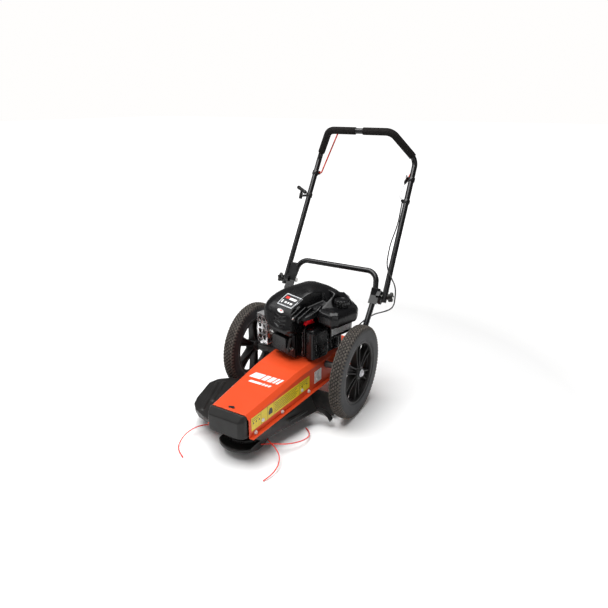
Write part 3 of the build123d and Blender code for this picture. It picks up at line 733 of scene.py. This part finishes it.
def add_starter_grip():
    """The T-shaped grip, and the rope that stretches between the handle's guide and the grip."""
    half = ((-34.0, 3.0), (-33.2, 6.2), (-30.0, 8.2), (-22, 8.5), (-16, 7.6), (-10, 7.4))
    stations = half + ((0, 8.4),) + tuple((-d, r) for d, r in reversed(half))
    bar = loft([circle(GRIP_AT + BAR * d, BAR, r, 28) for d, r in stations])
    stem = turned_part(GRIP_AT - PULL * 13.4, PULL, ((0, 4.6), (1.2, 5.6), (8, 6.3), (14, 6.5)), 24)
    add("starter_grip_moulding", joined([bar, stem]), "black_plastic", "starter", 40, "starter_grip")
    low, high = GRIP_AT - PULL * 40, GRIP_AT - PULL * 13.6
    segments = 26
    run = tube([low.lerp(high, k / segments) for k in range(segments + 1)], STRAND_R, 16)
    strand = add("starter_rope_strand", run, "rope", None, 60, "starter_rope")
    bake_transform(strand)


add_starter_grip()


# -------- engine mouldings
# the dome's sections: z, then x and y from and to, and the corners' radius
DOME = ((318, -46, 64, -118, 120, 20), (334, -68, 64, -118, 122, 24), (346, -92, 114, -114, 132, 34),
        (362, -108, 117, -110, 136, 40), (388, -113, 117, -104, 136, 42), (406, -109, 117, -96, 134, 44),
        (422, -100, 116, -85, 130, 44), (436, -86, 112, -73, 124, 42), (448, -71, 106, -60, 116, 40),
        (459, -53, 98, -46, 106, 36), (468, -34, 86, -30, 92, 32), (475, -12, 70, -12, 76, 26),
        (480, 8, 54, 4, 60, 18), (482, 18, 44, 14, 50, 10))


def add_shroud():
    """The blower's dome with its slots, its notch over the air cleaner, and four ribs on the ledge."""
    dome = loft([rounded_rect(x0, x1, y0, y1, r, z) for z, x0, x1, y0, y1, r in DOME])
    notch = block(66, 135, -135, 36, 300, 386)
    ledge = hull([(x, y, z + dz) for dz in (0, 120) for x, y, z in (
        (50, -125, 394), (135, -125, 384), (135, 30, 424), (92, 30, 432), (76, -52, 420), (54, -96, 403))])
    mouth = [hull([(x, y, z + dz + abs(x - 4) * 0.32) for x in (4, edge) for y in (-130, depth)
                   for dz in (0, 5)])
             for z, depth in ((374, -103), (358, -106), (342, -108)) for edge in (-26, 34)]
    shelf = block(-70, 66, -130, -112, 300, 322)
    ribs = []
    for x, y0, z0, y1, z1 in ((67, -112, 403, -62, 421), (84, -112, 400, -50, 422),
                              (101, -110, 398, -38, 421), (112, -28, 409, 0, 420)):
        side = ((y0, z0 - 16), (y0, z0 - 2), (y0 + 6, z0 + 4),
                (y1 - 4, z1 + 5), (y1 + 5, z1 + 2), (y1 + 5, z1 - 16))
        ribs.append(hull([(x + dx, y, z) for dx in (-3.4, 3.4) for y, z in side]))
    base = softened(raw("blower_shroud_moulding", askew(dome)), 3.0, 6)
    combined(base, [askew(piece) for piece in [notch, ledge, shelf] + mouth], "DIFFERENCE")
    combined(base, [askew(piece) for piece in ribs], "UNION")
    return finished(softened(base, 2.2, 3), "engine_plastic", "root", 180.0, "blower_shroud")


TANK_PLAN = ((TANK_X, -26), (186, -30), (204, -8), (204, 93), (182, 126), (142, 150), (TANK_X, 156))


def tank_ring(z, shrink):
    """The tank's outline at z, drawn in by shrink mm except on the side towards the engine."""
    middle_y = 62.0
    return [(x if x == TANK_X else x - shrink, y - shrink * (1 if y > middle_y else -1), z)
            for x, y in TANK_PLAN]


def add_tank():
    """The tank, its pocket for the label, the cover that rises to the shroud, and the filler's neck."""
    levels = ((360, 12), (363, 4), (372, 0), (398, 0), (410, 4), (418, 12))
    body = loft([tank_ring(z, shrink) for z, shrink in levels])
    pocket = block(TANK_X + 0.2, 130, 34, 156, 282, 372)
    hump = hull([(TANK_X, 66, 458), (TANK_X, 112, 454), (TANK_X, 146, 426), (126, 74, 452), (130, 104, 446),
                 (142, 112, 434), (166, 108, 424), (196, 92, 402), (TANK_X, 150, 404), (TANK_X, 20, 436),
                 (TANK_X, -22, 414), (126, 16, 430), (128, -18, 414), (TANK_X, -20, 400), (190, 60, 404)])
    saddle = hull([(80, 60, 467), (80, 100, 461), (100, 58, 465), (100, 92, 462), (118, 62, 459),
                   (118, 92, 457), (130, 70, 452), (130, 96, 450), (142, 100, 441), (142, 70, 441),
                   (80, 60, 430), (80, 105, 430), (142, 60, 425), (142, 108, 425)])
    ridge = hull([(196, -6, 410), (200, 90, 406), (188, 86, 420), (186, 0, 420), (186, -10, 400),
                  (186, 90, 400)])
    well = rod((CAP_X, CAP_Y, 419), (CAP_X, CAP_Y, 500), 33, 40, 36)
    engine_moulding("fuel_tank_moulding", [body, pocket, hump, saddle, ridge], [well], 2.4, 5, "fuel_tank")
    profile = ((0, 24), (20, 24), (22, 22.5), (25.5, 22), (25.8, 19))
    neck = turned_part((CAP_X, CAP_Y, 404), (0, 0, 1), profile)
    add("fuel_tank_neck", askew(neck), "engine_plastic", "root")


def add_fuel_cap():
    """A cap with sixteen flutes, and a bar across its dished top."""
    rings = []
    for z, r, depth in ((430.4, 26.5, 0.0), (431.5, 27.6, 1.0), (440, 27.6, 1.6), (443.5, 26.8, 1.4),
                        (445.6, 24, 0.6), (445.9, 19, 0.0), (444.2, 17.5, 0.0), (444.2, 6, 0.0)):
        rings.append([(CAP_X + u, CAP_Y + v, z) for u, v in lobed(r, depth, 16, 96)])
    grip = block(CAP_X - 16, CAP_X + 16, CAP_Y - 2.5, CAP_Y + 2.5, 443, 446)
    cap = askew(joined([loft(rings), grip]))
    add("fuel_cap_moulding", cap, "engine_plastic", "fuel_cap", 40, "fuel_cap")


def add_air_box():
    """The air cleaner's cover and the base plate behind it, whose fronts make one broad face."""
    outline = loft([rounded_rect(x0, x1, y0, y1, r, z) for z, x0, x1, y0, y1, r in (
        (222, 92, 121, -55, 24, 8), (225, 86, 125, -60, 28, 12), (232, 84.2, 127, -62, 30, 15),
        (330, 84.2, 127, -62, 30, 15), (339, 85, 125, -59, 28, 14), (343, 90, 119, -52, 22, 10))])
    panel = block(125.2, 135, -40, 20, 240, 322)
    slats = [block(92, 118, y, y + 4, 340.4, 350) for y in (-36, -22, -8)]
    engine_moulding("air_filter_cover_moulding", [outline], [panel] + slats, 2.0, 2, "air_filter_cover")
    plate = loft([rounded_rect(71.8, 83.6, y0, y1, 4, z) for z, y0, y1 in (
        (224, -52, 24), (230, -58, 28), (340, -58, 28), (349, -46, 26))])
    engine_moulding("air_filter_base_moulding", [plate], [], 1.8, 2, "air_filter_base")


def add_engine_side():
    """The dark housing between the air cleaner and the tank's pocket, and a screw on the shroud."""
    side = loft([rounded_rect(x0, x1, y0, y1, 10, z) for z, x0, x1, y0, y1 in (
        (214, 58, 100, 38, 138), (232, 58, 100, 38, 138), (300, 58, 96, 38, 134), (358, 58, 104, 36, 138))])
    ribs = [block(90, 104, y, y + 5, 226, 350) for y in (62, 104)]
    engine_moulding("engine_side_moulding", [side] + ribs, [], 2.4, 3)
    head = turned_part((71, -99, 391), (0, -1, 0), ((0, 4.2), (6, 4.2), (8.6, 3.4), (9.2, 1.6)), 24)
    add("shroud_screw", askew(head), "zinc", "root", 40)


def add_lever():
    """The red lever on the air cleaner: pin, arm and swept knob."""
    knob = hull([(70, -54, 352), (84, -56, 352), (69, -46, 364), (84, -48, 365), (72, -22, 372),
                 (88, -24, 372), (71, -12, 383), (86, -12, 384), (72, -28, 383), (86, -29, 384),
                 (72, -16, 360), (86, -16, 360)])
    arm = block(74, 82, -50, -4, 350.4, 354.6)
    pin = rod((78, -8, 343), (78, -8, 353), 2.9, 20)
    engine_moulding("throttle_lever_moulding", [knob, arm, pin], [], 1.2, 4, "throttle_lever",
                    "red_plastic", "throttle")


shroud = add_shroud()
add_tank()
add_fuel_cap()
add_air_box()
add_engine_side()
add_lever()


# -------- bumper, guard and small hardware
def add_bumper():
    """The moulded bumper over the nose, hollow behind."""
    outer = hull([(-73, -461.4, 107), (75, -461.4, 107), (-73, -461.4, 186), (75, -461.4, 184),
                  (-62, -490, 111), (54, -490, 111), (-68, -484, 109), (71, -478, 109),
                  (-63, -490, 169), (55, -490, 169), (-68, -482, 174), (72, -476, 172), (-66, -469, 190),
                  (62, -469, 190), (-70, -463, 188), (71, -463, 187)])
    hollow = block(-60, 60, -478, -455, 112, 168)
    moulding("front_bumper_moulding", [outer], [hollow], 1.8, 3, "black_plastic", "root", "front_bumper")


def add_guard():
    """The guard, softened from its CAD node, and the raised bead along its wall on the operator's left."""
    skin = welded(linked("trimmer_guard_moulding", nodes["trimmer_guard"].data.copy()))
    finished(softened(skin, 2.4, 7), "black_plastic", "root", 180.0, "trimmer_guard")
    front, rear = Vector((118, -282, 84)), Vector((131, -182, 74))
    run = tube([front, front.lerp(rear, 0.5), rear], [4, 5, 4], 16)
    moulding("guard_bead", [run], [], 1.4, 3, "black_plastic", "root")


LOW_BOLTS = [(y, 114, 7.4) for y in (-431, -284, -118)]  # y, z and the washer's radius, on both sides
LABEL_BOLTS = [(y, 140, 6.6) for y in (-392, -162)]      # on the operator's left only


def add_washers():
    """Washers under the deck's bolts."""
    rings = []
    for bolts, sides in ((LOW_BOLTS, (-1, 1)), (LABEL_BOLTS, (1,))):
        for y, z, r in bolts:
            for side in sides:
                rings.append(turned_part((side * (deck_half(y) + 0.3), y, z), (side, 0, 0),
                                         ((0, r), (1.2, r), (1.7, r - 0.7))))
    add("bolt_washers", joined(rings), "zinc", "root", 40)


def add_fold_plates():
    """Flat bent plates behind the fold, on the lower handle."""
    plates = []
    bend = (240, 398)
    for side, low, high in ((-1, (213, 364), (276, 466)), (1, (217, 370), (253, 424))):
        for ends in ((low, bend), (bend, high)):
            plates.append(hull([(side * x, y + dy, z) for x in (177, 215) for dy in (0, 3) for y, z in ends]))
    bevelled(add("fold_plates", joined(plates), "engine_plastic", "root", 40), 0.8)


def add_tension_spring():
    """The belt tensioner's coil, which stretches between the deck and the idler."""
    start, end = Vector((50, 0, 144)), Vector((50, -66.5, 144))
    turns, steps, coil_r, wire_r = 22, 12, 2.8, 0.75
    coil = []
    for k in range(turns * steps + 1):
        a = radians(360 / steps * k)
        around = Vector((coil_r * cos(a), 0, coil_r * sin(a)))
        coil.append(start.lerp(end, k / (turns * steps)) + around)
    spring = add("tension_spring_coil", tube(coil, wire_r, 8), "steel", None, 60, "tension_spring")
    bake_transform(spring)


add_bumper()
add_guard()
add_washers()
add_fold_plates()
add_tension_spring()


# -------- printed marks, all generic, and painted shade in the deck's slot
def shroud_patch(name, corners, material, lift, cells_along=(24, 12), oval=False):
    """A thin patch between four drawing points, or the oval in them, laid lift mm proud of the shroud."""
    a, b, c, d = (Vector(p) for p in corners)
    across, down = cells_along
    points = []
    for j in range(down + 1):
        for i in range(across + 1):
            u, v = i / across, j / down
            if oval:
                p, q = 2 * u - 1, 2 * v - 1
                u = 0.5 + 0.5 * p * sqrt(1 - q * q / 2)
                v = 0.5 + 0.5 * q * sqrt(1 - p * p / 2)
            points.append(tuple(a.lerp(b, u).lerp(d.lerp(c, u), v)))
    row = across + 1
    faces = [(j * row + i, j * row + i + 1, (j + 1) * row + i + 1, (j + 1) * row + i)
             for j in range(down) for i in range(across)]
    obj = raw(name, (points, faces))
    wrap = obj.modifiers.new("wrap", "SHRINKWRAP")
    wrap.target = shroud
    wrap.wrap_mode = "ABOVE_SURFACE"
    wrap.offset = lift * MM
    return finished(baked(obj), material, "root", 180.0)


def deck_top(x, y, lift):
    """A point lift mm above the deck's top at x, y."""
    rise = (DECK_TOP_Z - DECK_FRONT_Z) / (DECK_MID_Y - DECK_FRONT_Y)
    z = DECK_TOP_Z if y > DECK_MID_Y else DECK_FRONT_Z + rise * (y - DECK_FRONT_Y)
    return x, y, z + lift


def flat_print(name, outlines, place, material, thickness=0.25):
    """Flat shapes, for print and for the painted shade in the deck's slot: outlines in (u, v), and place(u,
    v, lift) gives the drawing point.
    """
    pieces = [loft([[place(u, v, lift) for u, v in outline] for lift in (0.05, thickness)])
              for outline in outlines]
    add(name, joined(pieces), material, "root")


def slanted_bars(x0, y0, x1, y1, bars, slant, gap):
    """Slanted bars that fill the box from (x0, y0) to (x1, y1), with the widths in bars."""
    unit = (x1 - x0 - gap * (len(bars) - 1)) / sum(bars)
    outlines, x = [], x0
    for width in bars:
        w = unit * width
        outlines.append([(x, y0), (x + w, y0), (x + w + slant, y1), (x + slant, y1)])
        x += w + gap
    return outlines


LABEL_LOW, LABEL_HIGH = 127, 175  # the side label, at its front end
LABEL_SLOPE = 2.0 / 338


def add_deck_prints():
    """The marks on the deck's top, a black patch of painted shade in its slot, and the yellow label on the
    operator's left.
    """
    bars = slanted_bars(-58, -268, 62, -236, (5, 2, 2, 1, 1), 8, 5)
    bars += slanted_bars(-42, -296, 46, -284, (6, 1, 1, 1), 4, 4)
    flat_print("deck_top_print", bars, deck_top, "label_white")
    # painted shade: the slot is not cut, a thin black patch stands for the shade in its opening
    slot = [(-15, -443), (-7, -450), (12, -444), (3, -436)]
    flat_print("deck_slot_painted_shade", [slot], deck_top, "label_black", 0.3)

    def side(u, v, lift):
        return deck_half(u) + lift, u, v

    def quad(u0, u1, v0=LABEL_LOW, v1=LABEL_HIGH):
        return [(u, v + LABEL_SLOPE * (u + 450)) for u, v in ((u0, v0), (u1, v0), (u1, v1), (u0, v1))]

    flat_print("side_label", [quad(-450, -112)], side, "label_yellow", 0.15)
    dark = [quad(y, y + 1.2) for y in (-401, -366, -331, -178)]
    for y0, y1, rows in ((-326, -184, 6), (-446, -404, 2), (-172, -118, 3)):
        for k in range(rows):
            v = 167 - k * 6.5
            dark.append(quad(y0, y1 - 9 * (k % 3), v, v + 1.6))
    for y in (-440, -425, -410, -160, -130):
        dark.append([(y - 4, 150), (y + 4, 150), (y, 158)])
    dark.append([(-360, 140), (-338, 140), (-338, 152), (-344, 163), (-354, 163), (-360, 152)])
    flat_print("side_label_print", dark, side, "label_black", 0.3)


def between(corners, u0, u1, v0, v1):
    """The corners of a part of the patch between four points; u and v run from 0 to 1 across it."""
    a, b, c, d = (Vector(p) for p in corners)
    return [a.lerp(b, u).lerp(d.lerp(c, u), v) for u, v in ((u0, v0), (u1, v0), (u1, v1), (u0, v1))]


def add_engine_prints():
    """The sticker and the badge on the shroud, and the label on the tank's pocket, without words."""
    sticker = [engine_point(*p) for p in ((-10, -52, 455), (74, -52, 450), (45, -89, 418), (-31, -88, 418))]
    shroud_patch("sticker_frame", sticker, "label_silver", 0.5)
    shapes = (((0.045, 0.955, 0.07, 0.93), "label_black"), ((0.14, 0.36, 0.22, 0.4), "label_red"),
              ((0.4, 0.82, 0.24, 0.42), "label_white"), ((0.12, 0.2, 0.56, 0.8), "label_white"),
              ((0.32, 0.46, 0.62, 0.76), "label_white"), ((0.52, 0.62, 0.62, 0.76), "label_white"),
              ((0.68, 0.82, 0.62, 0.76), "label_white"))
    for k, (limits, material) in enumerate(shapes):
        shroud_patch(f"sticker_shape_{k}", between(sticker, *limits), material, 0.75 if k == 0 else 1.0)
    badge = ((-18, -101, 410), (16, -101, 408), (16, -104, 394), (-18, -104, 396))
    mark = ((-3, -101, 407), (6, -101, 406.5), (6, -103, 401.5), (-3, -103, 402))
    shroud_patch("badge", [engine_point(*p) for p in badge], "label_white", 0.8, oval=True)
    shroud_patch("badge_mark", [engine_point(*p) for p in mark], "label_red", 1.1, (6, 4), True)

    def tank_side(u, v, lift):
        return engine_point(130 + lift, u, v)

    panel = [(38, 296), (150, 296), (150, 322), (38, 322)]
    flat_print("tank_label", [panel], tank_side, "label_white")
    lines = []
    for k in range(4):
        u0, u1, v = 44 + 4 * (k % 2), 144 - 12 * (k % 3), 300 + 5 * k
        lines.append([(u0, v), (u1, v), (u1, v + 1.4), (u0, v + 1.4)])
    flat_print("tank_label_print", lines, tank_side, "label_grey", 0.35)


add_deck_prints()
add_engine_prints()


# -------- cords
# each route goes from the cord's fixed end to its free end, or to the idler
LINE_REAR = ((66.1, -382, 31), (86, -367, 31.5), (108, -356, 32), (134, -342, 31), (158, -313, 27),
             (172, -276, 20), (172, -238, 13), (156, -205, 7), (128, -186, 3.5))
LINE_FRONT = ((66.1, -352, 40), (84, -361, 39.5), (104, -370, 37), (126, -379, 32), (150, -396, 26),
              (166, -424, 18), (170, -456, 11), (165, -487, 6.5), (158, -505, 3.5))
LINE_FAR_FRONT = ((-66.1, -392, 31), (-92, -392, 32), (-128, -382, 33), (-165, -378, 31), (-196, -404, 27),
                  (-211, -446, 20), (-202, -494, 11), (-180, -525, 6), (-142, -542, 3.5))
LINE_FAR_REAR = ((-66.1, -368, 36), (-88, -364, 35), (-116, -350, 31), (-139, -322, 23), (-150, -290, 14),
                 (-148, -257, 7), (-134, -227, 3.5))
CABLE_TOP = ((207.5, 456, 736), (208.5, 440, 706), (211, 418, 664), (207, 396, 624), (200, 374, 584),
             (201, 352, 546), (208, 322, 508), (229, 292, 486), (253, 274, 464), (270, 266, 441),
             (275, 262, 416))
CABLE_LOW = ((275, FOLD_Y, FOLD_Z), (274, 258, 370), (262, 262, 345), (229, 262, 326), (192, 262, 310),
             (158, 256, 284), (128, 246, 250), (96, 232, 212), (66, 208, 178), (52, 166, 154),
             (48, 120, 146), (51, 62, 144), (50, 3, 144))


def cord_curve(name, points, r, material):
    """A smooth cord: a NURBS spline whose control points are the route's."""
    data = bpy.data.curves.new(name, "CURVE")
    data.dimensions = "3D"
    data.bevel_depth = r * MM
    data.bevel_resolution = 5
    data.use_fill_caps = True
    data.resolution_u = 12
    spline = data.splines.new("NURBS")
    spline.points.add(len(points) - 1)
    for point, place in zip(spline.points, points):
        point.co = (*at(*place), 1.0)
    spline.order_u = 3
    spline.use_endpoint_u = True
    data.materials.append(materials[material])
    return linked(name, data)


def add_lines():
    for number, points, length in (("1", LINE_REAR, 0.264), ("2", LINE_FRONT, 0.212),
                                   ("3", LINE_FAR_FRONT, 0.31), ("4", LINE_FAR_REAR, 0.191)):
        obj = cord_curve("line_" + number, points, LINE_R, "nylon_line")
        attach(obj, "cutting_head")
        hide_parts("trimmer_line_" + number)


add_lines()


def add_cable():
    """The control cable is one mesh tube, because it bends between the two handle halves."""
    curve = cord_curve("control_cable_curve", CABLE_TOP + CABLE_LOW, CABLE_R, "black_plastic")
    obj = linked("control_cable", evaluated(curve))
    obj.data.shade_smooth()
    curve.data.bevel_depth = 0.0  # what is left is the spline itself
    line = evaluated(curve)
    bpy.data.meshes.remove(line)
    bpy.data.objects.remove(curve)
    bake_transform(obj)
    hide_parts("cable_upper", "cable_lower")


add_cable()


# -------- stage
WORLD_LIGHT = 0.13  # how strongly the white surroundings light the object
FLOOR_HALF, FLOOR_Z = 30000, -0.3
GLOW_START, GLOW_FULL = 1.1, 2.6  # metres from the middle: the floor fades into white between them
CAMERA_AT, CAMERA_LENS = (958.2, -1614.0, 1121.3), 31.44
CAMERA_TILT, CAMERA_PAN = radians(69.04), radians(30.39)


def add_floor():
    """A matt floor that fades into pure white away from the object, for the camera only."""
    corners = [(u * FLOOR_HALF, v * FLOOR_HALF, FLOOR_Z) for u, v in ((-1, -1), (1, -1), (1, 1), (-1, 1))]
    floor = raw("floor", (corners, [(0, 1, 2, 3)]))
    mat = new_material("floor", (0.92, 0.92, 0.92), 0.85, Specular_IOR_Level=0.2)
    tint(mat, noise(mat, 3, 2), (0.91, 0.91, 0.91), (0.93, 0.93, 0.93))
    new, link = mat.node_tree.nodes.new, mat.node_tree.links.new
    away = new("ShaderNodeVectorMath")
    away.operation = "LENGTH"
    link(new("ShaderNodeTexCoord").outputs["Object"], away.inputs[0])
    seen = new("ShaderNodeMath")
    seen.operation = "MULTIPLY"
    link(remap(mat, away.outputs["Value"], GLOW_START, GLOW_FULL, 0.0, 1.0), seen.inputs[0])
    link(new("ShaderNodeLightPath").outputs["Is Camera Ray"], seen.inputs[1])
    surface(mat, "Emission Color").default_value = (1.0, 1.0, 1.0, 1.0)
    link(seen.outputs["Value"], surface(mat, "Emission Strength"))
    floor.data.materials.append(mat)


def add_world():
    """White surroundings, seen at full strength and lighting the object much less."""
    scene.view_settings.view_transform = "Standard"
    world = bpy.data.worlds.new("studio")
    scene.world = world
    world.use_nodes = True
    background = world.node_tree.nodes["Background"]
    background.inputs["Color"].default_value = (1.0, 0.99, 0.98, 1.0)
    seen = world.node_tree.nodes.new("ShaderNodeLightPath").outputs["Is Camera Ray"]
    level = world.node_tree.nodes.new("ShaderNodeMapRange")
    level.inputs["To Min"].default_value = WORLD_LIGHT
    level.inputs["To Max"].default_value = 1.0
    world.node_tree.links.new(seen, level.inputs["Value"])
    world.node_tree.links.new(level.outputs["Result"], background.inputs["Strength"])


def area_light(name, place, aim, size, power):
    lamp = bpy.data.lights.new(name, "AREA")
    lamp.shape = "RECTANGLE"
    lamp.size, lamp.size_y = size
    lamp.energy = power
    obj = linked(name, lamp)
    obj.location = at(*place)
    obj.rotation_euler = (at(*aim) - obj.location).to_track_quat("-Z", "Y").to_euler()


def add_camera():
    camera = bpy.data.cameras.new("camera")
    camera.sensor_width = 36.0
    camera.lens = CAMERA_LENS
    obj = linked("camera", camera)
    obj.location = at(*CAMERA_AT)
    obj.rotation_euler = (CAMERA_TILT, 0.0, CAMERA_PAN)
    scene.camera = obj


add_floor()
add_world()
area_light("top", (-300, -500, 3000), (0, 0, 0), (2.6, 2.6), 142)
area_light("key", (-2200, -1300, 1900), (0, 0, 300), (0.7, 1.8), 16)
area_light("fill", (2300, -1700, 1500), (0, 0, 300), (0.6, 1.6), 8)
add_camera()
